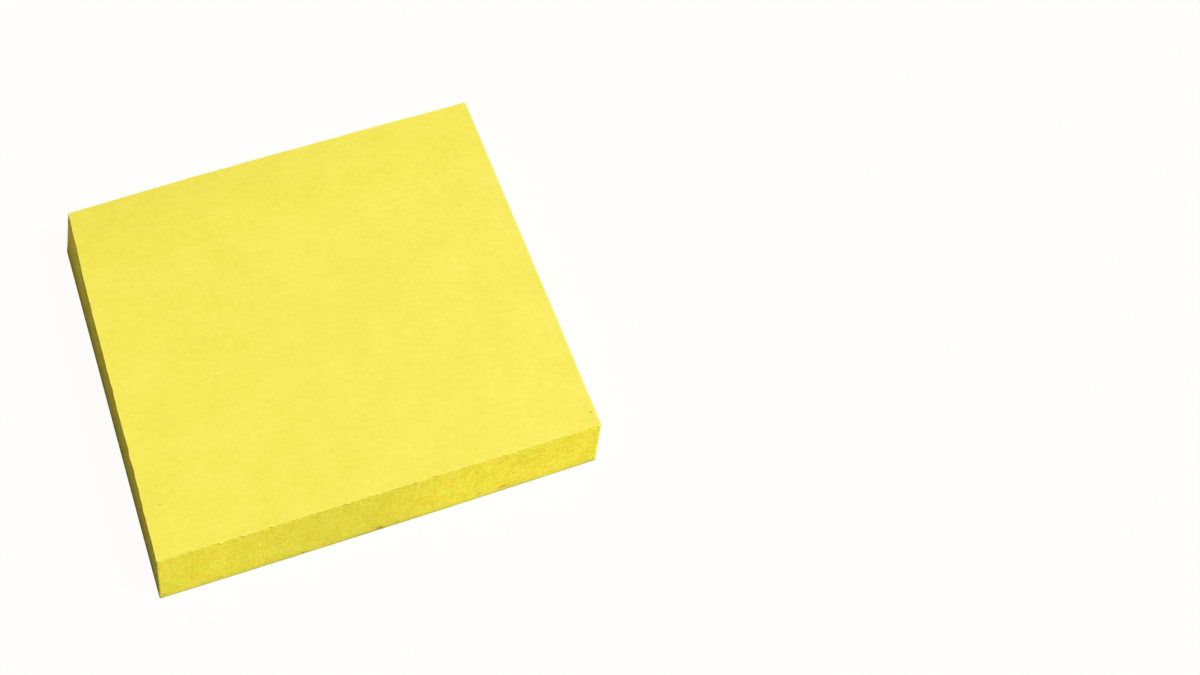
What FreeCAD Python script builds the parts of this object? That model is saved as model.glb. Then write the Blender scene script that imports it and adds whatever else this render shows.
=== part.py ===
import FreeCAD, Part
import enum
import math
import os
import Sketcher

# Sticky note pad: a block of notes stuck together along their back edges, on one release sheet
# Frame in millimetres: +Z up through the writing face, +Y towards the glued edge, +X to the right,
# origin at the centre of the underside
# The stack leans and fans out a little: each sheet lies to the right and to the back of the one
# below it, and is turned slightly against it

# Name of the cell, its value, and what it measures; the count and the angle aren't lengths
DRIVING_DIMENSIONS = [
    ("sheet_width", 76.0, "a note from left to right"),
    ("sheet_depth", 76.0, "a note from front corner to back corner"),
    ("sheet_count", 100, "notes in the block"),
    ("sheet_thickness", 0.087, "one note with its share of adhesive"),
    ("backing_thickness", 0.12, "release sheet under the last note"),
    ("lean_right", 1.9, "how far the top note lies to the right of the underside"),
    ("lean_back", 1.5, "how far the top note lies behind the underside"),
    ("fan_angle", 0.32, "degrees that the top note is turned clockwise against the last one"),
    ("front_bow", 0.18, "how far the middle of the front cut stands out past its corners"),
    ("back_bow", 0.1, "how far the middle of the back cut stands out past its corners"),
]

# Heights and offsets that follow from the sheet
NOTES_HEIGHT = "sizes.sheet_count * sizes.sheet_thickness"
FULL_HEIGHT = f"({NOTES_HEIGHT} + sizes.backing_thickness)"
BACKING_SHARE = f"sizes.backing_thickness / {FULL_HEIGHT}"
NOTES_SHARE = f"{NOTES_HEIGHT} / {FULL_HEIGHT}"

# The block's volume agrees with one sheet's area times its height to this share
VOLUME_TOLERANCE = 0.01


class Point(enum.IntEnum):
    """Which point of a line or an arc a constraint holds."""

    START = 1
    END = 2


class Axis(enum.IntEnum):
    """The sketch's own axes, whose start is the origin."""

    X = -1
    Y = -2


def add_sheet(doc):
    """The spreadsheet that holds every driving dimension."""
    sheet = doc.addObject("Spreadsheet::Sheet", "sizes")
    sheet.Label = "driving dimensions"
    for row, (alias, value, meaning) in enumerate(DRIVING_DIMENSIONS, start=1):
        sheet.set(f"A{row}", meaning)
        sheet.set(f"B{row}", str(value))
        sheet.setAlias(f"B{row}", alias)
    doc.recompute()
    return sheet


def add_body(doc, name):
    """An empty body whose label names its file."""
    body = doc.addObject("PartDesign::Body", name)
    body.Label = name
    return body


def add_sketch(body, name):
    """An empty sketch on the body's own horizontal origin plane."""
    plane = next(feature for feature in body.Origin.OriginFeatures if feature.Role == "XY_Plane")
    sketch = body.newObject("Sketcher::SketchObject", name)
    sketch.AttachmentSupport = [(plane, "")]
    sketch.MapMode = "FlatFace"
    return sketch


def bow_radius(chord, bow):
    """Radius of the arc that stands out by bow over a chord."""
    return (chord ** 2 / 4 + bow ** 2) / (2 * bow)


def bow_radius_expression(chord, bow):
    """The same radius, as a formula of the spreadsheet's cells."""
    return f"({chord}^2 / 4 + {bow}^2) / (2 * {bow})"


def bowed_edge(chord, bow, distance, side):
    """Arc over a chord that lies at distance from the X axis; side is 1 at the back, -1 at the front."""
    radius = bow_radius(chord, bow)
    centre = FreeCAD.Vector(0, side * (distance + bow - radius), 0)
    half_angle = math.asin(chord / 2 / radius)
    middle = side * math.pi / 2
    circle = Part.Circle(centre, FreeCAD.Vector(0, 0, 1), radius)
    return Part.ArcOfCircle(circle, middle - half_angle, middle + half_angle)


def add_outline(body, sheet, name):
    """One sheet: straight left and right sides, and front and back cuts that bow outwards."""
    sketch = add_sketch(body, name)
    half_width = sheet.sheet_width / 2
    half_depth = sheet.sheet_depth / 2
    front_left = FreeCAD.Vector(-half_width, -half_depth, 0)
    back_left = FreeCAD.Vector(-half_width, half_depth, 0)
    front_right = FreeCAD.Vector(half_width, -half_depth, 0)
    back_right = FreeCAD.Vector(half_width, half_depth, 0)

    left = sketch.addGeometry(Part.LineSegment(front_left, back_left), False)
    right = sketch.addGeometry(Part.LineSegment(front_right, back_right), False)
    front = sketch.addGeometry(bowed_edge(sheet.sheet_width, sheet.front_bow, half_depth, -1), False)
    back = sketch.addGeometry(bowed_edge(sheet.sheet_width, sheet.back_bow, half_depth, 1), False)

    # Both arcs run anticlockwise: the front one from left to right, the back one from right to left
    sketch.addConstraint(Sketcher.Constraint("Coincident", front, Point.START, left, Point.START))
    sketch.addConstraint(Sketcher.Constraint("Coincident", front, Point.END, right, Point.START))
    sketch.addConstraint(Sketcher.Constraint("Coincident", back, Point.START, right, Point.END))
    sketch.addConstraint(Sketcher.Constraint("Coincident", back, Point.END, left, Point.END))
    sketch.addConstraint(Sketcher.Constraint("Symmetric", left, Point.START, left, Point.END, Axis.X))
    sketch.addConstraint(Sketcher.Constraint("Symmetric", right, Point.START, right, Point.END, Axis.X))
    sketch.addConstraint(Sketcher.Constraint("Symmetric", left, Point.START, right, Point.START, Axis.Y))

    width = sketch.addConstraint(
        Sketcher.Constraint("DistanceX", left, Point.START, right, Point.START, sheet.sheet_width))
    depth = sketch.addConstraint(
        Sketcher.Constraint("DistanceY", left, Point.START, left, Point.END, sheet.sheet_depth))
    front_radius = sketch.addConstraint(
        Sketcher.Constraint("Radius", front, bow_radius(sheet.sheet_width, sheet.front_bow)))
    back_radius = sketch.addConstraint(
        Sketcher.Constraint("Radius", back, bow_radius(sheet.sheet_width, sheet.back_bow)))
    sketch.setExpression(f"Constraints[{width}]", "sizes.sheet_width")
    sketch.setExpression(f"Constraints[{depth}]", "sizes.sheet_depth")
    sketch.setExpression(
        f"Constraints[{front_radius}]", bow_radius_expression("sizes.sheet_width", "sizes.front_bow"))
    sketch.setExpression(
        f"Constraints[{back_radius}]", bow_radius_expression("sizes.sheet_width", "sizes.back_bow"))
    return sketch


def add_backing_sheet(doc, sheet):
    """Release sheet that the last note is stuck to, and that the pad lies on; it leans with the pad."""
    body = add_body(doc, "backing_sheet")
    pad = body.newObject("PartDesign::Pad", "backing_thickness_pad")
    pad.Profile = add_outline(body, sheet, "backing_outline")
    pad.UseCustomVector = True
    pad.AlongSketchNormal = True
    pad.setExpression("Direction.x", "sizes.lean_right")
    pad.setExpression("Direction.y", "sizes.lean_back")
    pad.setExpression("Direction.z", FULL_HEIGHT)
    pad.setExpression("Length", "sizes.backing_thickness")
    return body


def add_top_outline(body, sheet):
    """The top note's outline: shifted by the lean and turned by the fan, at the block's full height."""
    sketch = add_outline(body, sheet, "top_note_outline")
    clockwise = FreeCAD.Rotation(FreeCAD.Vector(0, 0, -1), sheet.fan_angle)
    sketch.AttachmentOffset = FreeCAD.Placement(FreeCAD.Vector(0, 0, 0), clockwise)
    sketch.setExpression("AttachmentOffset.Rotation.Angle", "sizes.fan_angle")
    sketch.setExpression("AttachmentOffset.Base.x", f"sizes.lean_right * {NOTES_SHARE}")
    sketch.setExpression("AttachmentOffset.Base.y", f"sizes.lean_back * {NOTES_SHARE}")
    sketch.setExpression("AttachmentOffset.Base.z", NOTES_HEIGHT)
    return sketch


def add_note_sheets(doc, sheet):
    """All the notes as one block, seated on the release sheet, from the last note to the top one."""
    body = add_body(doc, "note_sheets")
    body.setExpression("Placement.Base.x", f"sizes.lean_right * {BACKING_SHARE}")
    body.setExpression("Placement.Base.y", f"sizes.lean_back * {BACKING_SHARE}")
    body.setExpression("Placement.Base.z", "sizes.backing_thickness")
    last_note = add_outline(body, sheet, "last_note_outline")
    top_note = add_top_outline(body, sheet)
    block = body.newObject("PartDesign::AdditiveLoft", "note_block")
    block.Profile = last_note
    block.Sections = [top_note]
    block.Ruled = True
    return body


def check_volume(body, sheet):
    """Compare the block's volume with one sheet's area times the block's height."""
    area = Part.Face(body.Document.getObject("last_note_outline").Shape.Wires).Area
    expected = area * sheet.sheet_count * sheet.sheet_thickness
    print(f"the notes hold {body.Shape.Volume:.1f} mm3, of {expected:.1f} mm3 expected")
    if abs(body.Shape.Volume - expected) > VOLUME_TOLERANCE * expected:
        raise RuntimeError("the block of notes isn't the shape that its sheets make")


def check_objects(doc):
    """Stop if any object failed to compute."""
    for item in doc.Objects:
        if "Invalid" in item.State or "Error" in item.State:
            raise RuntimeError(f"{item.Name} failed: {item.State}")


def check_body(body):
    """Stop if a body isn't one valid closed solid."""
    shape = body.Shape
    if shape.isNull() or not shape.isValid() or len(shape.Solids) != 1:
        raise RuntimeError(f"{body.Label} isn't one valid solid")
    box = shape.BoundBox
    print(f"{body.Label}: {shape.Volume:.1f} mm3, x {box.XMin:.2f} to {box.XMax:.2f}, "
          f"y {box.YMin:.2f} to {box.YMax:.2f}, z {box.ZMin:.3f} to {box.ZMax:.3f}")


def main():
    doc = FreeCAD.newDocument("sticky_note_pad")
    sheet = add_sheet(doc)
    backing_sheet = add_backing_sheet(doc, sheet)
    note_sheets = add_note_sheets(doc, sheet)
    doc.recompute()
    check_objects(doc)
    check_body(backing_sheet)
    check_body(note_sheets)
    check_volume(note_sheets, sheet)
    os.makedirs("parts", exist_ok=True)
    for body in (backing_sheet, note_sheets):
        body.Shape.exportStep(f"parts/{body.Label}.step")


main()
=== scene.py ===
import math
import random
from collections import namedtuple
import bpy
from mathutils import Euler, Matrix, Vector, noise


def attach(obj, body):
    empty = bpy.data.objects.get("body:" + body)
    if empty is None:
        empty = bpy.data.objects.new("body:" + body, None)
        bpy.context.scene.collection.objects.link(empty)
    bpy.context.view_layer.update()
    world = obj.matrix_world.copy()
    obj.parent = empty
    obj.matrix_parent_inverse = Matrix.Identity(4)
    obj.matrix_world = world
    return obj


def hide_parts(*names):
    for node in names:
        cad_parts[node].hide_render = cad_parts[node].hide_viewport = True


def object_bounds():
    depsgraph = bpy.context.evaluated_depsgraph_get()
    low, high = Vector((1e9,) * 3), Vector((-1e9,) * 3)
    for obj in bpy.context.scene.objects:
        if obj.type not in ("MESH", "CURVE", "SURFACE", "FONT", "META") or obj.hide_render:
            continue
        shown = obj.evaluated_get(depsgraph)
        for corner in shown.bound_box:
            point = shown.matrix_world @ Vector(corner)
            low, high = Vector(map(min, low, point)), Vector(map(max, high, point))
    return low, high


# Sticky note pad: a guillotined block of yellow notes on one release sheet, seen from above its front
# Frame in metres: +Z up through the writing face, +Y towards the glued edge, +X to the right

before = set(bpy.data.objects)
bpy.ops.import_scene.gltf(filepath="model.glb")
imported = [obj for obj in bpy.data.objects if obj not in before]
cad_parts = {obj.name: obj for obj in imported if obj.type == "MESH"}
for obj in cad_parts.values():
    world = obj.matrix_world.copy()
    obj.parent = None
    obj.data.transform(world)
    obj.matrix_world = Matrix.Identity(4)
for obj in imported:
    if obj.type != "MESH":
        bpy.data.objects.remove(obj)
cad_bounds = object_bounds()

MM = 0.001
RANDOM_SEED = 76

# Sides of a sheet, anticlockwise from above, each with the direction of the corner where it starts
SIDES = range(4)
FRONT, RIGHT, BACK, LEFT = SIDES
CORNER_DIRECTIONS = [(-1, -1), (1, -1), (1, 1), (-1, 1)]
LEVEL_TOLERANCE = 0.005 * MM

# The two materials of a piece, and the angle in degrees from which an edge is shaded as a sharp one
FACE_SLOT, CUT_SLOT = range(2)
SHARP_ANGLE = 35

# The stack: how its sheets lie on each other
SHEET_COUNT = 100
SLIP_LIMIT = 0.03 * MM
SLIP_OF_A_SHEET = 0.006 * MM
SLIP_OF_A_CLUSTER = 0.010 * MM
SLIP_SHARE_BACKWARDS = 0.5
CLUSTER_SHEETS = (4, 15)

# A sheet's edge: a flat cut between two rounded borders that meet the next sheet in a groove,
# whose depth goes up and down around its mean
FLAT_CUT_FROM = 0.2
FLAT_CUT_TO = 0.8
GROOVE_DEPTH = 0.030 * MM
GROOVE_WAVE = 3.5 * MM
GROOVE_MEAN = 0.8
GROOVE_VARIES = 1.1
GROOVE_LEAST = 0.2
GLUED_GROOVE_SHARE = 0.45
TOP_EDGE_ROUNDING = 0.012 * MM

# Radius of each corner as the blade and handling left it, from the front left one round
CORNER_ROUNDINGS = (0.27 * MM, 0.10 * MM, 0.27 * MM, 0.27 * MM)

# Ragged edges that the blade left on the uppermost notes, and the one burr of the front
RAGGED_SHEETS = 5
RAGGED_DEPTHS = {FRONT: 0.28 * MM, RIGHT: 0.07 * MM, BACK: 0.14 * MM, LEFT: 0.14 * MM}
RAGGED_LENGTH = 0.7 * MM
RAGGED_WAVE_LENGTH = 3.4 * MM
RAGGED_WAVE_SHARE = 0.6
BURR_PLACE = 10.46 * MM
BURR_REACH = 0.45 * MM
BURR_HEIGHT = 0.10 * MM

# Marks of the guillotine's blade, which run through all the sheets, and loose fibres of the cut
BLADE_WAVE_DEPTH = 0.02 * MM
BLADE_WAVE_LENGTH = 17.0 * MM
BLADE_MARK_DEPTH = 0.014 * MM
BLADE_MARK_LENGTH = 1.5 * MM
FIBRE_DEPTH = 0.008 * MM
FIBRE_LENGTH = 0.7 * MM

# The writing face: it sinks a little at three corners and is nowhere quite flat;
# the corners are counted from the front left one round
CORNER_SAGS = (0.0, 0.33 * MM, 0.03 * MM, 0.50 * MM)
CORNER_SAG_REACH = 17.0 * MM
FACE_WAVE_DEPTH = 0.03 * MM
FACE_WAVE_LENGTH = 30.0 * MM

# The uppermost notes lie skew on the left: how far their corners are pushed to the right
CORNER_PUSHES = (-0.15 * MM, 0.0, 0.0, 0.35 * MM)
CORNER_PUSH_REACH = 12.0 * MM

# Points along each side, around each chip of the front cut, and on the writing face and the underside
POINT_SPACING = {FRONT: 0.53 * MM, RIGHT: 1.8 * MM, BACK: 2.4 * MM, LEFT: 1.4 * MM}
CORNER_STATIONS = (0.13 * MM, 0.27 * MM)
CHIP_STATIONS = (-0.9, -0.3, 0.3, 0.9)
STATION_GAP = 0.12 * MM
TOP_CELLS = 40
UNDERSIDE_CELLS = 6
RIM_WIDTH = 0.3 * MM

# Chips of the front cut in millimetres: distance from the left corner, height above the
# underside, half length, half height, depth; and last how much painted shade and dirt darken them, up to
# 1
FRONT_CHIPS = [
    (0.0, 0.15, 0.50, 0.35, 0.10, 0.90),
    (0.75, 0.60, 0.30, 0.25, 0.08, 0.50),
    (10.2, 0.60, 0.60, 0.30, 0.08, 0.30),
    (24.2, 0.35, 0.50, 0.30, 0.08, 0.45),
    (37.3, 0.50, 0.90, 0.60, 0.08, 0.35),
    (37.8, 0.24, 0.36, 0.28, 0.03, 1.00),
    (40.6, 0.50, 0.60, 0.30, 0.10, 0.40),
    (43.3, 0.20, 0.90, 0.25, 0.08, 0.50),
    (54.9, 1.05, 0.75, 0.45, 0.08, 0.32),
    (59.0, 1.00, 0.95, 0.45, 0.08, 0.36),
    (60.8, 3.60, 0.30, 0.55, 0.05, 0.16),
    (61.7, 5.85, 0.30, 0.55, 0.05, 0.20),
]

# How ragged a chip's border is and how fine, in features to a millimetre along the cut and upwards;
# and how much sooner than its depth its painted shade and dirt are in full
CHIP_RAGGEDNESS = 0.35
CHIP_FINENESS_ALONG = 3.1
CHIP_FINENESS_UP = 9.0
CHIP_DARKENING_SOONER = 1.6

# Dust and painted shade on the cuts: dust along the foot in patches, with a painted contact shade;
# painted shade on the left side, deeper towards the front and the foot, and on the front, deeper towards
# the left; and a darker patch around a place of the front
FOOT_DUST_AND_SHADE = 0.29
FOOT_HEIGHT = 2.3 * MM
FOOT_LINE_DUST_AND_SHADE = 0.44
FOOT_LINE_HEIGHT = 0.6 * MM
FOOT_PATCH_LENGTH = 8.0 * MM
FOOT_PATCH_MEAN = 0.95
FOOT_PATCH_VARIES = 0.5
LEFT_PAINTED_SHADE = 0.27
LEFT_FOOT_PAINTED_SHADE = 0.50
LEFT_FOOT_HEIGHT = 9.2 * MM
FRONT_PAINTED_SHADE = 0.10
DARK_PATCH_AMOUNT = 0.14
DARK_PATCH_PLACE = 31.0 * MM
DARK_PATCH_REACH = 22.0 * MM

# Painted highlight along the front left edge, where the cuts are paler
FRONT_LEFT_HIGHLIGHT_WIDTH = 0.45 * MM

# The release sheet's wall from the bottom up: heights of its rings as shares, and how far they draw in
RELEASE_RINGS = (0.0, 0.25, 0.75, 1.0)
RELEASE_RING_INSETS = (0.015 * MM, 0.0, 0.0, 0.01 * MM)

# Its frayed edge: the mean, a wave and loose fibres as shares of the whole depth
FRAY_DEPTH = 0.06 * MM
FRAY_LENGTH = 2.2 * MM
FRAY_MEAN = 0.5
FRAY_WAVE = 0.35
FRAY_FIBRES = 0.15

# Starting places of the patterns in the noise, and steps through it, which keep the patterns apart
BLADE_WAVE_NOISE = 0.0
RAGGED_WAVE_NOISE = 20.0
FOOT_PATCH_NOISE = 30.0
BLADE_MARK_NOISE = 50.0
FRAY_FIBRE_NOISE = 70.0
RAGGED_NOISE = 80.0
FRAY_WAVE_NOISE = 90.0
FACE_WAVE_NOISE = 2.5
SIDE_STEP = 5.0
RAGGED_LEVEL_STEP = 0.2
FIBRE_RING_STEP = 3.7
FIBRE_SIDE_STEP = 11.0
GROOVE_SHEET_STEP = 7.3
GROOVE_SIDE_STEP = 3.0

# The map that a bake uses, 1 by 1: the writing face at the lower left, the underside at its right,
# and the walls above them as one strip a side; the release sheet has a map of its own
Strips = namedtuple("Strips", "bottom step height length")
MAP_MARGIN = 0.006
MAP_FACE_SIZE = 0.70
MAP_UNDERSIDE_LEFT = 0.72
MAP_UNDERSIDE_SIZE = 0.27
BLOCK_STRIPS = Strips(bottom=0.715, step=0.0705, height=0.064, length=MAP_FACE_SIZE)
RELEASE_STRIPS = Strips(bottom=0.55, step=0.1, height=0.08, length=0.9)
RELEASE_UPPER_LEFT = 0.0
RELEASE_LOWER_LEFT = 0.5
RELEASE_FACE_SIZE = 0.48

# Numbers of a colour mix's sockets, whose names it has more than once
MIX_FACTOR, MIX_FIRST, MIX_SECOND = 0, 6, 7
MIX_RESULT = 2

# Colours of the writing face
PAPER_LIGHT = (1.0, 0.881, 0.167)
PAPER_DEEP = (0.790, 0.697, 0.060)
# Painted sheen falloff: a tint that takes blue out of the writing face towards the left
PAPER_SHEEN_FALLOFF_TINT = (1.0, 1.0, 0.87)
# Painted highlight at the writing face's rim
PAPER_RIM_HIGHLIGHT = (0.985, 0.90, 0.20)
GLUE_TINT = (1.0, 1.0, 0.89)
# Painted shade over the adhesive, deepest at the back edge
GLUE_BAND_PAINTED_SHADE = (0.95, 0.95, 1.0)
SPOT_COLOUR = (0.42, 0.34, 0.04)

# Colours of the cut edges
CUT_LIGHT = (0.870, 0.804, 0.080)
CUT_DEEP = (0.733, 0.648, 0.035)
CUT_GREEN_TINT = (0.985, 1.0, 0.98)
CUT_WARM_TINT = (1.0, 0.945, 0.84)
# Painted light on the cuts that face left: lighter and bluer
CUT_LEFT_PAINTED_LIGHT_TINT = (1.11, 1.045, 1.36)
# Painted highlight at the cuts' top edge and along the front left edge
CUT_EDGE_HIGHLIGHT = (0.68, 0.63, 0.21)
# Dust, with painted shade along the foot, on the left side and along the front
DUST_AND_SHADE_COLOUR = (0.36, 0.40, 0.07)
# Painted shade and dirt in the chips
CHIP_SHADE_AND_DIRT_COLOUR = (0.17, 0.128, 0.010)

# Colours of the release sheet
RELEASE_LIGHT = (0.89, 0.88, 0.83)
RELEASE_DEEP = (0.80, 0.79, 0.73)
# Painted contact shade and dust on the release sheet's edge
RELEASE_EDGE_SHADE_DUST_LIGHT = (0.68, 0.62, 0.28)
RELEASE_EDGE_SHADE_DUST_DEEP = (0.46, 0.41, 0.15)

# Which part of a sum of patterns goes from the deep colour to the light one
PAPER_TONES = (0.14, 0.70)
CUT_TONES = (0.40, 0.60)
CUT_WARM_TONES = (0.36, 0.64)
RELEASE_TONES = (0.3, 0.7)

# Fibres in the paper: the directions in degrees in which they lie, and how slowly they change upwards
FIBRE_TURNS = (12, 58, 104, 151)
FIBRE_UP_SCALE = 0.3

# Scales that draw the patterns of the cut out: sheets and clusters lie flat, the blade's streaks stand
SHEET_FLAT_SCALE = 0.02
SHEETS_TO_A_FEATURE = 2
CLUSTER_SCALE = (0.03, 0.03, 1.0)
STREAK_SCALE = (1.0, 1.0, 0.16)

# Shares of the painted highlight colours at the paper's rim and at the cuts' top and front left edges,
# and least dust and painted shade where the grain is low
PAPER_RIM_HIGHLIGHT_SHARE = 0.35
CUT_EDGE_HIGHLIGHT_SHARE = 0.5
DUST_AND_SHADE_LEAST = 0.5

# How far to the left a surface faces where the left cut's painted light tint starts, and where it is in
# full
FACES_LEFT = (-0.35, -0.65)

# Painted sheen: the top note is a little deeper in yellow at the left, where less of the lamp's sheen is
# painted: where that starts to fade, and where it ends
SHEEN_FALLOFF_FROM = -38.0 * MM
SHEEN_FALLOFF_TO = 38.0 * MM

# Band of repositionable adhesive along the back edge: it shows through the top note in patches, and
# a shade is painted over it that deepens towards the back edge, less and less so at the right
GLUE_BAND_WIDTH = 15.3 * MM
GLUE_BORDER = 0.9 * MM
GLUE_WOBBLE = 0.25 * MM
GLUE_PATCHES = (0.2, 0.8)
GLUE_LEAST = 0.75
GLUE_VARIES = 0.5
PAINTED_SHADE_FADES_FROM = -10.0 * MM
PAINTED_SHADE_FADES_TO = 60.0 * MM

# Specks on the writing face in millimetres: place, half length, half width; then their turn in
# degrees and their strength
SPOTS = [
    (-33.5, -26.1, 0.32, 0.19, 25, 0.42),
    (-33.8, -25.5, 0.22, 0.15, -20, 0.22),
    (38.85, -33.7, 0.28, 0.22, 70, 0.60),
    (38.75, -35.1, 0.24, 0.15, 0, 0.20),
]
SPOT_RAGGEDNESS = 0.9
SPOT_BORDER = (0.7, 1.9)

# The photograph's camera: a lens of about 60 mm looking down past the pad, which lies at the left
CAMERA_PLACE = Vector((-18.9017, -204.745, 293.8566)) * MM
CAMERA_TURN = (34.4484, 0.5734, -20.0558)
CAMERA_LENS = 59.9943
CAMERA_SENSOR = 36.0
CAMERA_CLIP_START = 0.01

# One soft lamp at the right, in front and above, and a weak even sky
KEY_DIRECTION = Vector((0.78, -0.45, 1.0)).normalized()
KEY_DISTANCE = 3.8
KEY_SIZE = 1.42
KEY_POWER = 177.0
SKY_STRENGTH = 0.15

# The floor and the background: what the camera sees, what the object gets back, and the faint shadow
BACKGROUND = (1.0, 0.991, 0.973)
FLOOR_TINT = (0.86, 0.77, 0.71)
FLOOR_SHADOW_SHARE = 0.03
SHADOW_FADES_FROM = 0.12
SHADOW_FADES_TO = 0.45
FLOOR_SIZE = 3.0
FLOOR_GAP = 0.02 * MM


def side_before(side):
    """The side that ends where this one starts."""
    return (side - 1) % len(SIDES)


def side_after(side):
    """The side that starts where this one ends."""
    return (side + 1) % len(SIDES)


class Outline:
    """One level of a CAD node: its corners, from the front left round, and its sides' outward bows."""

    def __init__(self, node, pick_height):
        points = [vertex.co.copy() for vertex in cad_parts[node].data.vertices]
        self.height = pick_height(point.z for point in points)
        ring = [point for point in points if abs(point.z - self.height) < LEVEL_TOLERANCE]
        self.corners = [
            max(ring, key=lambda point: point.x * right + point.y * back)
            for right, back in CORNER_DIRECTIONS
        ]
        self.bows = [max(self.outside(side, point) for point in ring) for side in SIDES]

    def along(self, side):
        """From the side's first corner to its last."""
        return self.corners[side_after(side)] - self.corners[side]

    def outward(self, side):
        """The side's direction away from the sheet."""
        along = self.along(side)
        return Vector((along.y, -along.x, 0)).normalized()

    def outside(self, side, point):
        """How far a point lies outside the straight line between the side's corners."""
        return (point - self.corners[side]).dot(self.outward(side))

    def centre(self):
        """Middle of the corners."""
        return sum(self.corners, Vector()) / len(self.corners)

    def point(self, side, share, inset):
        """Point at a share of a side, moved inwards; a corner moves in from both its sides."""
        bulge = self.bows[side] * 4 * share * (1 - share)
        place = self.corners[side] + self.along(side) * share + self.outward(side) * (bulge - inset)
        if share == 0:
            place -= self.outward(side_before(side)) * inset
        return place


class Station:
    """A place on the sheets' outline: its side, its share of it and its distance from the corner."""

    def __init__(self, side, distance, length):
        self.side = side
        self.distance = distance
        self.share = distance / length
        self.to_corner = min(distance, length - distance)
        self.corner = side if distance < length / 2 else side_after(side)
        self.from_front_left = {FRONT: distance, LEFT: distance - length}.get(side, math.inf)


class MeshMaker:
    """Collects points with their marks, and faces with their material and places on the map."""

    def __init__(self):
        self.points = []
        # Marks: painted shade and dirt in the chips, a painted highlight at rims, and dust with painted
        # shade
        self.marks = {"wear": [], "rim": [], "dust": []}
        self.faces = []
        self.slots = []
        self.places = []

    def add_point(self, place, **marks):
        """Number of a new point; a mark that isn't given is 0."""
        self.points.append(place)
        for title, values in self.marks.items():
            values.append(marks.get(title, 0.0))
        return len(self.points) - 1

    def add_face(self, corners, slot, places):
        """A face with its corners' places on the map."""
        self.faces.append(corners)
        self.slots.append(slot)
        self.places.extend(places)

    def make(self, name, materials):
        """The finished object, smooth along its edges and sharp across them."""
        mesh = bpy.data.meshes.new(name)
        mesh.from_pydata(self.points, [], self.faces)
        for material in materials:
            mesh.materials.append(material)
        mesh.polygons.foreach_set("material_index", self.slots)
        mesh.polygons.foreach_set("use_smooth", [True] * len(self.faces))
        layer = mesh.uv_layers.new(name="OFBake")
        layer.uv.foreach_set("vector", [number for place in self.places for number in place])
        for title, values in self.marks.items():
            mesh.attributes.new(title, "FLOAT", "POINT").data.foreach_set("value", values)
        mesh.set_sharp_from_angle(angle=math.radians(SHARP_ANGLE))
        mesh.validate()
        made = bpy.data.objects.new(name, mesh)
        bpy.context.scene.collection.objects.link(made)
        return made


def smooth_noise(first, second, third=0.0):
    """Perlin noise from -1 to 1 at three coordinates."""
    return noise.noise(Vector((first, second, third)))


def side_noise(station, length, start, third=0.0):
    """Noise from -1 to 1 along a side, whose features are about as long as said."""
    return smooth_noise(station.distance / length, start + SIDE_STEP * station.side, third)


def above_zero(value):
    """Noise from -1 to 1, brought to 0 to 1."""
    return 0.5 + 0.5 * value


def falling_off(ratio):
    """1 at the middle, and 0 from a ratio of 1 on, with no kink."""
    return max(0.0, 1 - ratio * ratio) ** 2


def inside_cad(point):
    """The point, brought back to the CAD model's box where it would leave it."""
    lowest, highest = cad_bounds
    return Vector(min(high, max(low, part)) for low, part, high in zip(lowest, point, highest))


def close_distances(side, length):
    """Distances at a side's two corners, and at the chips and the burr of the front cut."""
    close = [0.0, *CORNER_STATIONS, *(length - distance for distance in CORNER_STATIONS)]
    if side == FRONT:
        for distance, _, half_length, _, _, _ in FRONT_CHIPS:
            close += [(distance + half_length * step) * MM for step in CHIP_STATIONS]
        close += [BURR_PLACE + BURR_REACH * step for step in CHIP_STATIONS]
    return [distance for distance in close if 0 <= distance < length - STATION_GAP]


def side_stations(side, length):
    """Stations of one side from its corner on; those that follow another too closely are left out."""
    count = round(length / POINT_SPACING[side])
    distances = close_distances(side, length) + [length * step / count for step in range(1, count)]
    stations = []
    for distance in sorted(distances):
        if not stations or distance - stations[-1].distance > STATION_GAP:
            stations.append(Station(side, distance, length))
    return stations


def all_stations(outline):
    """Stations round the whole outline."""
    return [station for side in SIDES
            for station in side_stations(side, outline.along(side).length)]


def chip_depth(station, height):
    """How deep the front cut is chipped at a height, and how much painted shade and dirt darken it
    there.
    """
    if station.from_front_left == math.inf:
        return 0.0, 0.0
    depth = 0.0
    wear = 0.0
    place = station.from_front_left / MM
    for distance, level, half_length, half_height, chip, darkness in FRONT_CHIPS:
        right = (place - distance) / half_length
        up = (height / MM - level) / half_height
        rough = smooth_noise(place * CHIP_FINENESS_ALONG, height / MM * CHIP_FINENESS_UP, distance)
        share = falling_off(math.hypot(right, up) + CHIP_RAGGEDNESS * rough)
        depth = max(depth, share * chip * MM)
        wear = max(wear, min(1.0, share * CHIP_DARKENING_SOONER) * darkness)
    return depth, wear


def blade_inset(station):
    """How far the blade's marks cut into every sheet at a station."""
    wave = side_noise(station, BLADE_WAVE_LENGTH, BLADE_WAVE_NOISE)
    mark = side_noise(station, BLADE_MARK_LENGTH, BLADE_MARK_NOISE)
    return BLADE_WAVE_DEPTH * above_zero(wave) + BLADE_MARK_DEPTH * above_zero(mark)


def fibre_inset(station, ring):
    """Loose fibres of the cut: small and different in every ring."""
    rough = smooth_noise(
        station.distance / FIBRE_LENGTH, FIBRE_RING_STEP * ring, FIBRE_SIDE_STEP * station.side)
    return FIBRE_DEPTH * above_zero(rough)


def corner_inset(station):
    """How far the outline draws in where a corner is rounded; the corner itself does so twice."""
    radius = CORNER_ROUNDINGS[station.corner]
    away = radius - station.to_corner
    if away <= 0:
        return 0.0
    if station.to_corner == 0:
        return radius * (1 - math.sqrt(0.5))
    return radius - math.sqrt(radius ** 2 - away ** 2)


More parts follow.
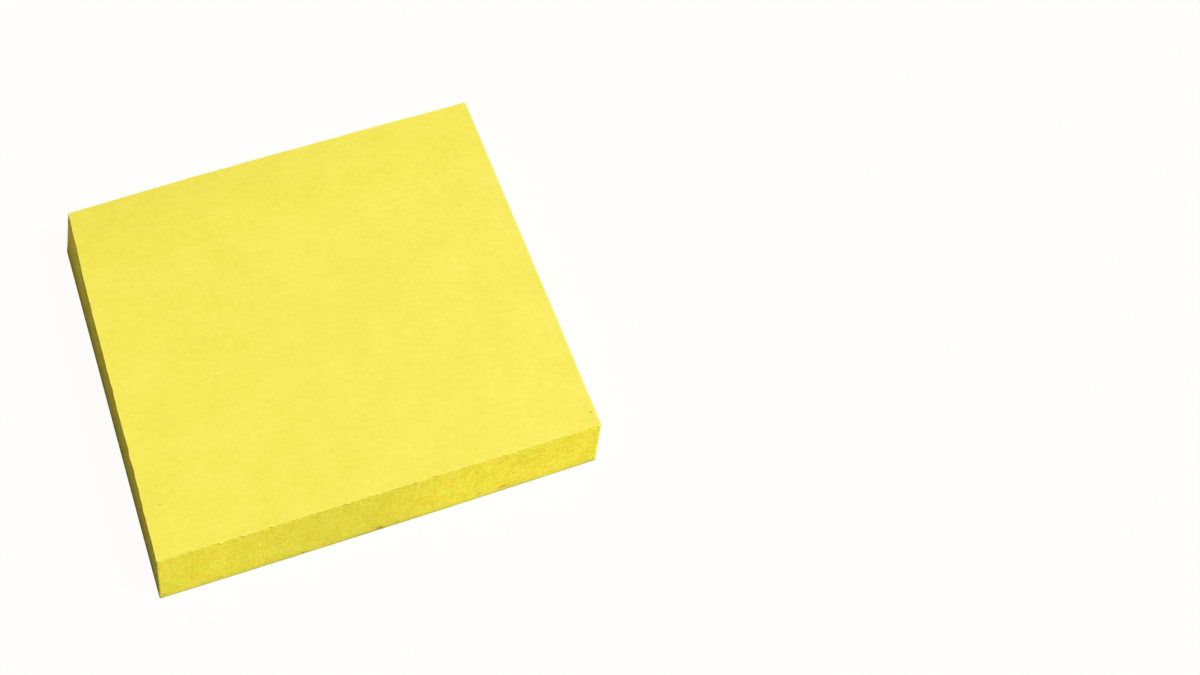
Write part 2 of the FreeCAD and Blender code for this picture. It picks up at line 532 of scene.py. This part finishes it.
def ragged_inset(station, level):
    """Uneven edges of the uppermost notes, and the one burr that stands out of the front."""
    share = falling_off(min(1.0, (SHEET_COUNT - level) / RAGGED_SHEETS))
    rough = side_noise(station, RAGGED_LENGTH, RAGGED_NOISE, RAGGED_LEVEL_STEP * level)
    wave = side_noise(station, RAGGED_WAVE_LENGTH, RAGGED_WAVE_NOISE)
    uneven = RAGGED_DEPTHS[station.side] * (rough + RAGGED_WAVE_SHARE * wave)
    burr = BURR_HEIGHT * falling_off((station.from_front_left - BURR_PLACE) / BURR_REACH)
    return share * (uneven - burr)


def groove_depth(station, sheet, glued):
    """Depth of the groove between two sheets, which is shallower where they are glued."""
    wave = smooth_noise(
        station.distance / GROOVE_WAVE, GROOVE_SHEET_STEP * sheet, GROOVE_SIDE_STEP * station.side)
    depth = GROOVE_DEPTH * max(GROOVE_LEAST, GROOVE_MEAN + GROOVE_VARIES * wave)
    return depth * (GLUED_GROOVE_SHARE if glued else 1.0)


def fray_inset(station, height):
    """How far the release sheet's frayed edge and rounded corners draw in."""
    wave = side_noise(station, FRAY_LENGTH, FRAY_WAVE_NOISE)
    fine = side_noise(station, FIBRE_LENGTH, FRAY_FIBRE_NOISE, height)
    return FRAY_DEPTH * (FRAY_MEAN + FRAY_WAVE * wave + FRAY_FIBRES * fine) + corner_inset(station)


def dust_amount(station, height):
    """How much dust and painted shade the cut gets at a height."""
    # Dust along the foot, with a painted contact shade
    low = max(0.0, 1 - height / FOOT_HEIGHT) ** 2
    line = max(0.0, 1 - height / FOOT_LINE_HEIGHT)
    wave = side_noise(station, FOOT_PATCH_LENGTH, FOOT_PATCH_NOISE)
    patch = FOOT_PATCH_MEAN + FOOT_PATCH_VARIES * wave
    amount = (FOOT_DUST_AND_SHADE * low + FOOT_LINE_DUST_AND_SHADE * line) * patch
    # Painted shade on the left side, deeper towards the front and towards the foot
    if station.side == LEFT:
        amount += LEFT_PAINTED_SHADE * station.share
        amount += LEFT_FOOT_PAINTED_SHADE * max(0.0, 1 - height / LEFT_FOOT_HEIGHT) ** 2
    # Painted shade on the front, deeper towards the left, and a darker patch around a place of the front
    if station.side == FRONT:
        amount += FRONT_PAINTED_SHADE * (1 - station.share)
        amount += DARK_PATCH_AMOUNT * falling_off((station.distance - DARK_PATCH_PLACE) / DARK_PATCH_REACH)
    return min(1.0, amount)


def front_left_highlight(station):
    """1 at the front left edge, where a highlight is painted, falling to 0 along the front."""
    if station.side != FRONT:
        return 0.0
    return falling_off(station.distance / FRONT_LEFT_HIGHLIGHT_WIDTH)


def sheet_slips():
    """How far each sheet lies off its place: a little for itself, and more for its cluster."""
    draw = random.Random(RANDOM_SEED)
    slips = []
    while len(slips) < SHEET_COUNT:
        cluster = Vector((draw.gauss(0, SLIP_OF_A_CLUSTER), draw.gauss(0, SLIP_OF_A_CLUSTER), 0))
        for _ in range(draw.randint(*CLUSTER_SHEETS)):
            own = Vector((draw.gauss(0, SLIP_OF_A_SHEET), draw.gauss(0, SLIP_OF_A_SHEET), 0))
            slip = cluster + own
            slip.y *= SLIP_SHARE_BACKWARDS
            slips.append(Vector(min(SLIP_LIMIT, max(-SLIP_LIMIT, part)) for part in slip))
    return slips[:SHEET_COUNT]


def near_corners(place, corners, amounts, reach):
    """The corners' amounts, each faded with the distance of the place from its corner."""
    faded = []
    for corner, amount in zip(corners, amounts):
        away = (place - corner).xy.length / reach
        faded.append(amount * math.exp(-away * away))
    return faded


def add_band(maker, stations, ring, strips, low_share, high_share):
    """Faces between one ring and the next, laid out on the map as a strip for each side."""
    count = len(stations)
    first = ring * count
    for number, station in enumerate(stations):
        following = (number + 1) % count
        end = stations[following].share or 1.0
        bottom = strips.bottom + strips.step * station.side
        low = bottom + strips.height * low_share
        high = bottom + strips.height * high_share
        left = MAP_MARGIN + strips.length * station.share
        right = MAP_MARGIN + strips.length * end
        corners = [first + number, first + following,
                   first + count + following, first + count + number]
        maker.add_face(corners, CUT_SLOT, [(left, low), (right, low), (right, high), (left, high)])


def grid_border(grid):
    """Points of a grid's border for each side, in the order of the outline."""
    return {
        FRONT: grid[0],
        RIGHT: [row[-1] for row in grid],
        BACK: grid[-1][::-1],
        LEFT: [row[0] for row in reversed(grid)],
    }


class Block:
    """The block of notes: every ring of its side walls, its writing face and its underside."""

    def __init__(self, node):
        self.low = Outline(node, min)
        self.high = Outline(node, max)
        self.stations = all_stations(self.low)
        self.slips = sheet_slips()
        self.thickness = (self.high.height - self.low.height) / SHEET_COUNT
        self.maker = MeshMaker()

    def settle(self, point, share):
        """Move a point of the flat stack down and sideways: more towards the top and at the corners."""
        wave = smooth_noise(point.x / FACE_WAVE_LENGTH, point.y / FACE_WAVE_LENGTH, FACE_WAVE_NOISE)
        sags = near_corners(point, self.high.corners, CORNER_SAGS, CORNER_SAG_REACH)
        pushes = near_corners(point, self.high.corners, CORNER_PUSHES, CORNER_PUSH_REACH)
        point.z -= sum(sags, FACE_WAVE_DEPTH * above_zero(wave)) * share
        point.x += sum(pushes) * share

    def place(self, station, level, inset, slip):
        """Point of the wall at a level counted in sheets."""
        share = level / SHEET_COUNT
        low = self.low.point(station.side, station.share, inset)
        high = self.high.point(station.side, station.share, inset)
        point = low.lerp(high, share) + slip
        self.settle(point, share)
        return inside_cad(point)

    def glued(self, station):
        """True where the sheets are stuck together."""
        if station.side == BACK:
            return True
        length = self.low.along(station.side).length
        from_back = {FRONT: length, RIGHT: length - station.distance, LEFT: station.distance}
        return from_back[station.side] < GLUE_BAND_WIDTH

    def slip_between(self, sheet):
        """Middle of two neighbours' slips, for the groove under a sheet."""
        below = self.slips[max(sheet - 1, 0)]
        above = self.slips[min(sheet, SHEET_COUNT - 1)]
        return (below + above) / 2

    def add_ring(self, level, slip, groove_of=None, rim=0.0, extra_inset=0.0):
        """One ring of the wall; groove_of is the sheet over a groove, and rim how much painted highlight
        its points carry.
        """
        height = self.low.height + level * self.thickness
        for station in self.stations:
            inset = blade_inset(station) + fibre_inset(station, level) + extra_inset
            inset += corner_inset(station) + ragged_inset(station, level)
            if groove_of is not None:
                inset += groove_depth(station, groove_of, self.glued(station))
            # Each point carries painted shade and dirt of the chips, a painted rim highlight, and dust
            # with painted shade
            depth, wear = chip_depth(station, height)
            self.maker.add_point(self.place(station, level, inset + depth, slip), wear=wear,
                                 rim=max(rim, front_left_highlight(station)), dust=dust_amount(station, height))

    def add_walls(self):
        """Rings of every sheet from the bottom up, with the faces between them."""
        levels = []
        for sheet in range(SHEET_COUNT):
            self.add_ring(sheet, self.slip_between(sheet), groove_of=sheet)
            self.add_ring(sheet + FLAT_CUT_FROM, self.slips[sheet])
            self.add_ring(sheet + FLAT_CUT_TO, self.slips[sheet])
            levels += [sheet, sheet + FLAT_CUT_FROM, sheet + FLAT_CUT_TO]
        # The top ring carries the painted rim highlight in full
        self.add_ring(SHEET_COUNT, self.slips[-1], rim=1.0, extra_inset=TOP_EDGE_ROUNDING)
        levels.append(SHEET_COUNT)
        for ring in range(len(levels) - 1):
            add_band(self.maker, self.stations, ring, BLOCK_STRIPS,
                     levels[ring] / SHEET_COUNT, levels[ring + 1] / SHEET_COUNT)

    def cover_grid(self, outline, cells, share):
        """Rows of points from the front, which end a rim's width inside the sheet's sides."""
        front_left, front_right, back_right, back_left = (
            outline.corners[side]
            - outline.outward(side) * RIM_WIDTH
            - outline.outward(side_before(side)) * RIM_WIDTH
            for side in SIDES
        )
        grid = [[] for _ in range(cells + 1)]
        for number, row in enumerate(grid):
            for column in range(cells + 1):
                front = front_left.lerp(front_right, column / cells)
                rear = back_left.lerp(back_right, column / cells)
                point = front.lerp(rear, number / cells)
                self.settle(point, share)
                row.append(self.maker.add_point(point))
        return grid

    def add_cover(self, outline, cells, ring_start, upwards, map_left, map_size):
        """Writing face, which looks upwards, or underside: a grid, joined to a ring of the wall."""
        grid = self.cover_grid(outline, cells, 1.0 if upwards else 0.0)
        corner = outline.corners[FRONT]
        width = outline.along(FRONT).length
        depth = outline.along(LEFT).length

        def on_map(number):
            """A point's place on the map."""
            offset = self.maker.points[number] - corner
            return map_left + map_size * offset.x / width, MAP_MARGIN + map_size * offset.y / depth

        def add(corners):
            """A face whose corners are given anticlockwise from above."""
            ordered = corners if upwards else corners[::-1]
            self.maker.add_face(ordered, FACE_SLOT, [on_map(number) for number in ordered])

        for front, rear in zip(grid, grid[1:]):
            for column in range(cells):
                add([front[column], front[column + 1], rear[column + 1], rear[column]])
        for side, inner in grid_border(grid).items():
            self.join(side, inner, ring_start, add)

    def join(self, side, inner, ring_start, add):
        """Triangles between one side's stations and the border of the grid."""
        outer = [(number, station.share) for number, station in enumerate(self.stations)
                 if station.side == side]
        outer.append(((outer[-1][0] + 1) % len(self.stations), 1.0))
        at_outer = 0
        at_inner = 0
        while at_outer < len(outer) - 1 or at_inner < len(inner) - 1:
            here = ring_start + outer[at_outer][0]
            inner_share = (at_inner + 1) / (len(inner) - 1)
            if at_outer < len(outer) - 1 and (
                    at_inner == len(inner) - 1 or outer[at_outer + 1][1] <= inner_share):
                add([here, ring_start + outer[at_outer + 1][0], inner[at_inner]])
                at_outer += 1
            else:
                add([here, inner[at_inner + 1], inner[at_inner]])
                at_inner += 1

    def build(self, name, materials):
        """The whole block as one closed mesh."""
        self.add_walls()
        last_ring = len(self.maker.points) - len(self.stations)
        self.add_cover(self.high, TOP_CELLS, last_ring, True, MAP_MARGIN, MAP_FACE_SIZE)
        self.add_cover(self.low, UNDERSIDE_CELLS, 0, False, MAP_UNDERSIDE_LEFT, MAP_UNDERSIDE_SIZE)
        return self.maker.make(name, materials)


def build_release_sheet(node, name, materials):
    """Release sheet: a thin closed slab with rounded, frayed edges."""
    low = Outline(node, min)
    high = Outline(node, max)
    stations = all_stations(low)
    maker = MeshMaker()
    for share, ring_inset in zip(RELEASE_RINGS, RELEASE_RING_INSETS):
        height = low.height + (high.height - low.height) * share
        for station in stations:
            inset = fray_inset(station, height) + ring_inset
            start = low.point(station.side, station.share, inset)
            end = high.point(station.side, station.share, inset)
            maker.add_point(inside_cad(start.lerp(end, share)))
    bands = len(RELEASE_RINGS) - 1
    for ring in range(bands):
        add_band(maker, stations, ring, RELEASE_STRIPS, ring / bands, (ring + 1) / bands)
    first_ring = range(len(stations))
    last_ring = range(len(stations) * bands, len(maker.points))
    add_release_face(maker, low, first_ring[::-1], RELEASE_LOWER_LEFT)
    add_release_face(maker, low, last_ring, RELEASE_UPPER_LEFT)
    return maker.make(name, materials)


def add_release_face(maker, outline, ring, map_left):
    """One face of the release sheet; it has a place of its own in the map's lower half."""
    corner = outline.corners[FRONT]
    scale = RELEASE_FACE_SIZE / outline.along(FRONT).length
    offsets = [maker.points[number] - corner for number in ring]
    places = [(map_left + MAP_MARGIN + scale * offset.x, MAP_MARGIN + scale * offset.y)
              for offset in offsets]
    maker.add_face(list(ring), FACE_SLOT, places)


def add_node(tree, kind, inputs=None, **settings):
    """One shader node; an input is a value or another node's output."""
    made = tree.nodes.new(kind)
    for name, value in settings.items():
        setattr(made, name, value)
    for name, value in (inputs or {}).items():
        if isinstance(value, bpy.types.NodeSocket):
            tree.links.new(value, made.inputs[name])
        else:
            made.inputs[name].default_value = value
    return made


def calculate(tree, operation, *values):
    """Output of a math node."""
    return add_node(tree, "ShaderNodeMath", dict(enumerate(values)), operation=operation).outputs[0]


def times(tree, first, second):
    """Output of one value times another."""
    return calculate(tree, "MULTIPLY", first, second)


def one_minus(tree, value):
    """Output of what a value lacks to 1."""
    return calculate(tree, "SUBTRACT", 1.0, value)


def calculate_vector(tree, operation, *vectors):
    """Outputs of a vector math node: the first is a vector, and Value is a number."""
    return add_node(tree, "ShaderNodeVectorMath", dict(enumerate(vectors)), operation=operation).outputs


def weighted(tree, parts):
    """Sum of outputs, each times its weight."""
    total = 0.0
    for value, weight in parts:
        total = calculate(tree, "MULTIPLY_ADD", value, weight, total)
    return total


def spread(tree, value, low, high):
    """A value from low to high brought to 0 to 1 and kept there."""
    return add_node(tree, "ShaderNodeMapRange",
                    {"Value": value, "From Min": low, "From Max": high}).outputs[0]


def spread_to_right(tree, place, start, end):
    """0 left of a place, 1 right of another."""
    right = add_node(tree, "ShaderNodeSeparateXYZ", {0: place}).outputs[0]
    return spread(tree, right, start / MM, end / MM)


def blend_colours(tree, factor, first, second, blend_type="MIX"):
    """Output of a colour mix; a plain colour is three numbers."""
    mix = add_node(tree, "ShaderNodeMix", data_type="RGBA", blend_type=blend_type)
    for number, value in ((MIX_FACTOR, factor), (MIX_FIRST, first), (MIX_SECOND, second)):
        socket = mix.inputs[number]
        if isinstance(value, bpy.types.NodeSocket):
            tree.links.new(value, socket)
        elif isinstance(value, tuple):
            socket.default_value = (*value, 1.0)
        else:
            socket.default_value = value
    return mix.outputs[MIX_RESULT]


def tinted(tree, amount, colour, tint):
    """The colour multiplied by a tint as far as the amount says."""
    return blend_colours(tree, amount, colour, blend_colours(tree, 1.0, colour, tint, "MULTIPLY"))


def millimetres(tree):
    """The object's own coordinates, in millimetres."""
    coordinates = add_node(tree, "ShaderNodeTexCoord").outputs["Object"]
    return add_node(tree, "ShaderNodeVectorMath", {0: coordinates, "Scale": 1 / MM},
                    operation="SCALE").outputs[0]


def stretched(tree, vector, scale, turn=0.0):
    """Coordinates turned about the vertical by degrees and then scaled along each axis."""
    return add_node(
        tree, "ShaderNodeMapping",
        {"Vector": vector, "Rotation": (0, 0, math.radians(turn)), "Scale": scale}).outputs[0]


def noise_value(tree, vector, feature, detail=3.0, roughness=0.5):
    """Noise whose features are about as many millimetres long as said."""
    return add_node(
        tree, "ShaderNodeTexNoise",
        {"Vector": vector, "Scale": 1 / feature, "Detail": detail, "Roughness": roughness}).outputs[0]


def fibres(tree, place, length, width):
    """Short fibres that lie every way in the sheet."""
    layers = []
    for turn in FIBRE_TURNS:
        lying = stretched(tree, place, (width / length, 1.0, FIBRE_UP_SCALE), turn)
        layers.append((noise_value(tree, lying, feature=width, detail=1.5), 1 / len(FIBRE_TURNS)))
    return weighted(tree, layers)


def attribute(tree, name):
    """A mark that the mesh carries at its points."""
    return add_node(tree, "ShaderNodeAttribute", attribute_name=name).outputs["Fac"]


def new_material(name, roughness, specular):
    """Material with its tree and its shader; the constants sit on the shader itself."""
    material = bpy.data.materials.new(name)
    material.use_nodes = True
    shader = material.node_tree.nodes["Principled BSDF"]
    shader.inputs["Roughness"].default_value = roughness
    shader.inputs["Specular IOR Level"].default_value = specular
    return material, material.node_tree, shader


def set_colour(tree, shader, colour):
    """Colour of the surface."""
    tree.links.new(colour, shader.inputs["Base Color"])


def set_bump(tree, shader, height, distance, strength):
    """Bump of the surface, its distance in metres."""
    bump = add_node(tree, "ShaderNodeBump",
                    {"Height": height, "Distance": distance, "Strength": strength})
    tree.links.new(bump.outputs[0], shader.inputs["Normal"])


def glue_band(tree, place, outline):
    """Outputs for where adhesive lies under the top note, and for how much shade is painted over it
    towards the back edge.
    """
    inward = -outline.outward(BACK)
    offset = outline.corners[BACK].dot(inward) / MM
    across = calculate_vector(tree, "DOT_PRODUCT", place, tuple(inward))["Value"]
    wobble = times(tree, noise_value(tree, place, feature=4.0), GLUE_WOBBLE / MM)
    distance = calculate(tree, "ADD", calculate(tree, "SUBTRACT", across, offset), wobble)
    edge = GLUE_BAND_WIDTH / MM
    border = GLUE_BORDER / MM / 2
    inside = one_minus(tree, spread(tree, distance, edge - border, edge + border))
    near_back = one_minus(tree, spread(tree, distance, 0.0, edge))
    faded = spread_to_right(tree, place, PAINTED_SHADE_FADES_FROM, PAINTED_SHADE_FADES_TO)
    return inside, times(tree, near_back, one_minus(tree, faded))


def add_spots(tree, place, colour):
    """The colour with the specks of SPOTS laid over it, each with a ragged border."""
    rough = noise_value(tree, place, feature=0.12, detail=2.0)
    ragged = times(tree, rough, SPOT_RAGGEDNESS)
    for right, back, half_length, half_width, turn, strength in SPOTS:
        offset = calculate_vector(tree, "SUBTRACT", place, (right, back, 0))[0]
        level = calculate_vector(tree, "MULTIPLY", offset, (1, 1, 0))[0]
        lying = stretched(tree, level, (1 / half_length, 1 / half_width, 1), turn)
        away = calculate(tree, "ADD", calculate_vector(tree, "LENGTH", lying)["Value"], ragged)
        covered = one_minus(tree, spread(tree, away, *SPOT_BORDER))
        colour = blend_colours(tree, times(tree, covered, strength), colour, SPOT_COLOUR)
    return colour


def make_note_paper(outline):
    """Uncoated yellow paper: cloudy, with fibres, and deeper over the adhesive; with a painted sheen
    that fades to the left, a painted shade over the adhesive and a painted highlight at its rim.
    """
    material, tree, shader = new_material("note_paper", roughness=0.88, specular=0.1)
    place = millimetres(tree)
    lying = fibres(tree, place, length=1.3, width=0.16)
    grain = noise_value(tree, place, feature=1.1, detail=4.0, roughness=0.6)
    clouds = noise_value(tree, place, feature=5.5, detail=2.0)
    wide = noise_value(tree, place, feature=14.0, detail=1.0)
    layers = [(lying, 0.17), (grain, 0.38), (clouds, 0.22), (wide, 0.07)]
    tone = spread(tree, weighted(tree, layers), *PAPER_TONES)
    colour = blend_colours(tree, tone, PAPER_DEEP, PAPER_LIGHT)
    # Painted sheen: towards the left the paper loses blue, as if less of the lamp's sheen fell there
    left = one_minus(tree, spread_to_right(tree, place, SHEEN_FALLOFF_FROM, SHEEN_FALLOFF_TO))
    colour = tinted(tree, left, colour, PAPER_SHEEN_FALLOFF_TINT)
    band, painted_shade = glue_band(tree, place, outline)
    patches = spread(tree, noise_value(tree, place, feature=7.0), *GLUE_PATCHES)
    uneven = calculate(tree, "MULTIPLY_ADD", patches, GLUE_VARIES, GLUE_LEAST)
    colour = tinted(tree, times(tree, band, uneven), colour, GLUE_TINT)
    # Painted shade over the adhesive, deepest at the back edge and less so at the right
    colour = tinted(tree, painted_shade, colour, GLUE_BAND_PAINTED_SHADE)
    # Painted highlight along the writing face's rim
    rim = times(tree, attribute(tree, "rim"), PAPER_RIM_HIGHLIGHT_SHARE)
    colour = blend_colours(tree, rim, colour, PAPER_RIM_HIGHLIGHT)
    set_colour(tree, shader, add_spots(tree, place, colour))
    height = weighted(tree, [(lying, 0.7), (grain, 0.5), (band, 0.25)])
    set_bump(tree, shader, height, distance=0.02 * MM, strength=0.5)
    return material


def upright(tree, place, block):
    """Coordinates in which the leaning stack stands upright."""
    lean = block.high.centre() - block.low.centre()
    parts = add_node(tree, "ShaderNodeSeparateXYZ", {0: place})
    height = parts.outputs[2]
    right = calculate(tree, "MULTIPLY_ADD", height, -lean.x / lean.z, parts.outputs[0])
    back = calculate(tree, "MULTIPLY_ADD", height, -lean.y / lean.z, parts.outputs[1])
    return add_node(tree, "ShaderNodeCombineXYZ", {0: right, 1: back, 2: height}).outputs[0]


def facing_left(tree):
    """1 where the surface faces left, 0 where it faces another way."""
    normal = add_node(tree, "ShaderNodeTexCoord").outputs["Normal"]
    right = add_node(tree, "ShaderNodeSeparateXYZ", {0: normal}).outputs[0]
    return spread(tree, right, *FACES_LEFT)


def make_cut_edges(block):
    """Cut edges of a hundred notes: each sheet a shade of its own, crossed by the blade's streaks."""
    material, tree, shader = new_material("cut_edges", roughness=0.9, specular=0.08)
    place = upright(tree, millimetres(tree), block)
    sheet_scale = (SHEET_FLAT_SCALE, SHEET_FLAT_SCALE, MM / block.thickness / SHEETS_TO_A_FEATURE)
    flat = stretched(tree, place, sheet_scale)
    sheets = noise_value(tree, flat, feature=1.0, detail=2.0, roughness=0.7)
    clusters = noise_value(tree, stretched(tree, place, CLUSTER_SCALE), feature=0.9, detail=2.0)
    standing = stretched(tree, place, STREAK_SCALE)
    streaks = noise_value(tree, standing, feature=0.38, detail=3.0, roughness=0.6)
    grain = noise_value(tree, place, feature=0.55, detail=3.0, roughness=0.6)
    clouds = noise_value(tree, place, feature=3.0, detail=3.0)
    layers = [(sheets, 0.06), (clusters, 0.03), (streaks, 0.25), (grain, 0.46), (clouds, 0.20)]
    tone = spread(tree, weighted(tree, layers), *CUT_TONES)
    colour = blend_colours(tree, tone, CUT_DEEP, CUT_LIGHT)
    warm = spread(tree, noise_value(tree, place, feature=2.4, detail=2.0), *CUT_WARM_TONES)
    tint = blend_colours(tree, warm, CUT_GREEN_TINT, CUT_WARM_TINT)
    colour = blend_colours(tree, 1.0, colour, tint, "MULTIPLY")
    # Painted highlight at the top edge of the cuts and along the front left edge
    highlight_share = times(tree, attribute(tree, "rim"), CUT_EDGE_HIGHLIGHT_SHARE)
    colour = blend_colours(tree, highlight_share, colour, CUT_EDGE_HIGHLIGHT)
    # Dust, with painted shade along the foot, on the left side and along the front
    uneven = calculate(tree, "ADD", grain, DUST_AND_SHADE_LEAST)
    colour = blend_colours(tree, times(tree, attribute(tree, "dust"), uneven), colour, DUST_AND_SHADE_COLOUR)
    # Painted light on the surfaces that face left
    colour = tinted(tree, facing_left(tree), colour, CUT_LEFT_PAINTED_LIGHT_TINT)
    # Chips darkened by painted shade and dirt
    set_colour(tree, shader, blend_colours(tree, attribute(tree, "wear"), colour, CHIP_SHADE_AND_DIRT_COLOUR))
    height = weighted(tree, [(streaks, 0.5), (grain, 0.8)])
    set_bump(tree, shader, height, distance=0.03 * MM, strength=0.6)
    return material


def make_release_paper(name, deep, light):
    """Thin coated paper: nearly even on its faces, and darker on its edge, where dust and a painted
    contact shade lie.
    """
    material, tree, shader = new_material(name, roughness=0.6, specular=0.4)
    place = millimetres(tree)
    lying = fibres(tree, place, length=1.6, width=0.2)
    clouds = noise_value(tree, place, feature=4.0, detail=3.0)
    tone = spread(tree, weighted(tree, [(lying, 0.5), (clouds, 0.5)]), *RELEASE_TONES)
    set_colour(tree, shader, blend_colours(tree, tone, deep, light))
    set_bump(tree, shader, lying, distance=0.015 * MM, strength=0.4)
    return material


def seen_directly(tree):
    """1 for the camera's own rays and for mirrored and transmitted ones."""
    path = add_node(tree, "ShaderNodeLightPath").outputs
    seen = calculate(tree, "MAXIMUM", path["Is Camera Ray"], path["Is Glossy Ray"])
    return calculate(tree, "MAXIMUM", seen, path["Is Transmission Ray"])


def mix_shaders(tree, factor, first, second):
    """A node that mixes two shader nodes."""
    parts = {0: factor, 1: first.outputs[0], 2: second.outputs[0]}
    return add_node(tree, "ShaderNodeMixShader", parts)


def make_camera():
    """The camera at the photograph's place."""
    data = bpy.data.cameras.new("photo_camera")
    data.lens = CAMERA_LENS
    data.sensor_width = CAMERA_SENSOR
    data.clip_start = CAMERA_CLIP_START
    camera = bpy.data.objects.new("photo_camera", data)
    camera.location = CAMERA_PLACE
    camera.rotation_euler = Euler([math.radians(angle) for angle in CAMERA_TURN])
    bpy.context.scene.collection.objects.link(camera)
    bpy.context.scene.camera = camera


def make_key_light():
    """The soft lamp, turned towards the pad."""
    data = bpy.data.lights.new("key_light", "AREA")
    data.shape = "DISK"
    data.size = KEY_SIZE
    data.energy = KEY_POWER
    light = bpy.data.objects.new("key_light", data)
    light.location = KEY_DIRECTION * KEY_DISTANCE
    light.rotation_euler = KEY_DIRECTION.to_track_quat("Z", "Y").to_euler()
    bpy.context.scene.collection.objects.link(light)


def make_world():
    """White where the camera sees it, and a weak even sky for the object."""
    world = bpy.data.worlds.new("studio")
    world.use_nodes = True
    tree = world.node_tree
    sky = tree.nodes["Background"]
    sky.inputs["Color"].default_value = (1, 1, 1, 1)
    sky.inputs["Strength"].default_value = SKY_STRENGTH
    white = add_node(tree, "ShaderNodeBackground", {"Color": (*BACKGROUND, 1), "Strength": 1.0})
    mix = mix_shaders(tree, seen_directly(tree), sky, white)
    tree.links.new(mix.outputs[0], tree.nodes["World Output"].inputs["Surface"])
    bpy.context.scene.world = world


def make_floor_material():
    """White to the camera, with a faint shadow, and grey to the light that the floor throws back."""
    material = bpy.data.materials.new("floor")
    material.use_nodes = True
    tree = material.node_tree
    tree.nodes.remove(tree.nodes["Principled BSDF"])
    white = add_node(tree, "ShaderNodeEmission", {"Color": (*BACKGROUND, 1), "Strength": 1.0})
    shaded = add_node(tree, "ShaderNodeBsdfDiffuse", {"Color": (*BACKGROUND, 1)})
    grey = add_node(tree, "ShaderNodeBsdfDiffuse", {"Color": (*FLOOR_TINT, 1)})
    place = add_node(tree, "ShaderNodeTexCoord").outputs["Object"]
    away = calculate_vector(tree, "LENGTH", place)["Value"]
    near = one_minus(tree, spread(tree, away, SHADOW_FADES_FROM, SHADOW_FADES_TO))
    shown = mix_shaders(tree, times(tree, near, FLOOR_SHADOW_SHARE), white, shaded)
    mix = mix_shaders(tree, seen_directly(tree), grey, shown)
    tree.links.new(mix.outputs[0], tree.nodes["Material Output"].inputs["Surface"])
    return material


def make_floor():
    """Pale floor just under the pad."""
    half = FLOOR_SIZE / 2
    corners = [(right * half, back * half, -FLOOR_GAP) for right, back in CORNER_DIRECTIONS]
    mesh = bpy.data.meshes.new("floor")
    mesh.from_pydata(corners, [], [(0, 1, 2, 3)])
    mesh.materials.append(make_floor_material())
    floor = bpy.data.objects.new("floor", mesh)
    bpy.context.scene.collection.objects.link(floor)


make_camera()
make_key_light()
make_world()
make_floor()

block = Block("note_sheets")
note_block = block.build("note_block", [make_note_paper(block.high), make_cut_edges(block)])
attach(note_block, "root")
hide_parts("note_sheets")

release_sheet = build_release_sheet("backing_sheet", "release_sheet", [
    make_release_paper("release_paper", RELEASE_DEEP, RELEASE_LIGHT),
    make_release_paper("release_edge_shade_and_dust", RELEASE_EDGE_SHADE_DUST_DEEP, RELEASE_EDGE_SHADE_DUST_LIGHT),
])
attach(release_sheet, "root")
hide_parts("backing_sheet")

bpy.context.scene.view_settings.view_transform = "Standard"
